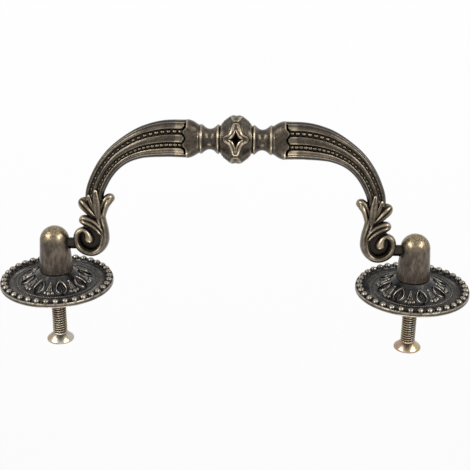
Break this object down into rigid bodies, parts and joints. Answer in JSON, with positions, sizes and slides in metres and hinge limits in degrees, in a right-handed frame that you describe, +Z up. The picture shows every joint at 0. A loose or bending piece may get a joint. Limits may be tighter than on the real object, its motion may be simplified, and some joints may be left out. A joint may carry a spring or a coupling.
{
  "type": "drawer pull",
  "caption": "Swinging bail drawer pull: fluted arms with a round central knob and scrolled ends, hung between domed posts on beaded rosettes and fixed by screws from behind.",
  "frame": {"origin": "midway between the two screw axes, on the plane of the rosettes' backs where they meet the drawer front", "axes": "+X along the drawer front from the left post to the right post, +Y into the drawer along the screws, +Z up"},
  "size_m": [0.1264, 0.0625, 0.0306],
  "materials": {
    "antique_brass": "dark antique patina, rubbed bright on the high edges",
    "yellow_zinc": "yellow zinc plating"
  },
  "bodies": {
    "fixed": {"left_post": "antique_brass", "right_post": "antique_brass", "left_rosette": "antique_brass", "right_rosette": "antique_brass", "left_screw": "yellow_zinc", "right_screw": "yellow_zinc"},
    "bail": {"bail": "antique_brass"}
  },
  "joints": [
    {"name": "bail_swing", "type": "hinge", "parent": "fixed", "child": "bail", "pos_m": [0, -0.0119, 0], "axis": [-1, 0, 0], "range_deg": [-83, 119]}
  ]
}
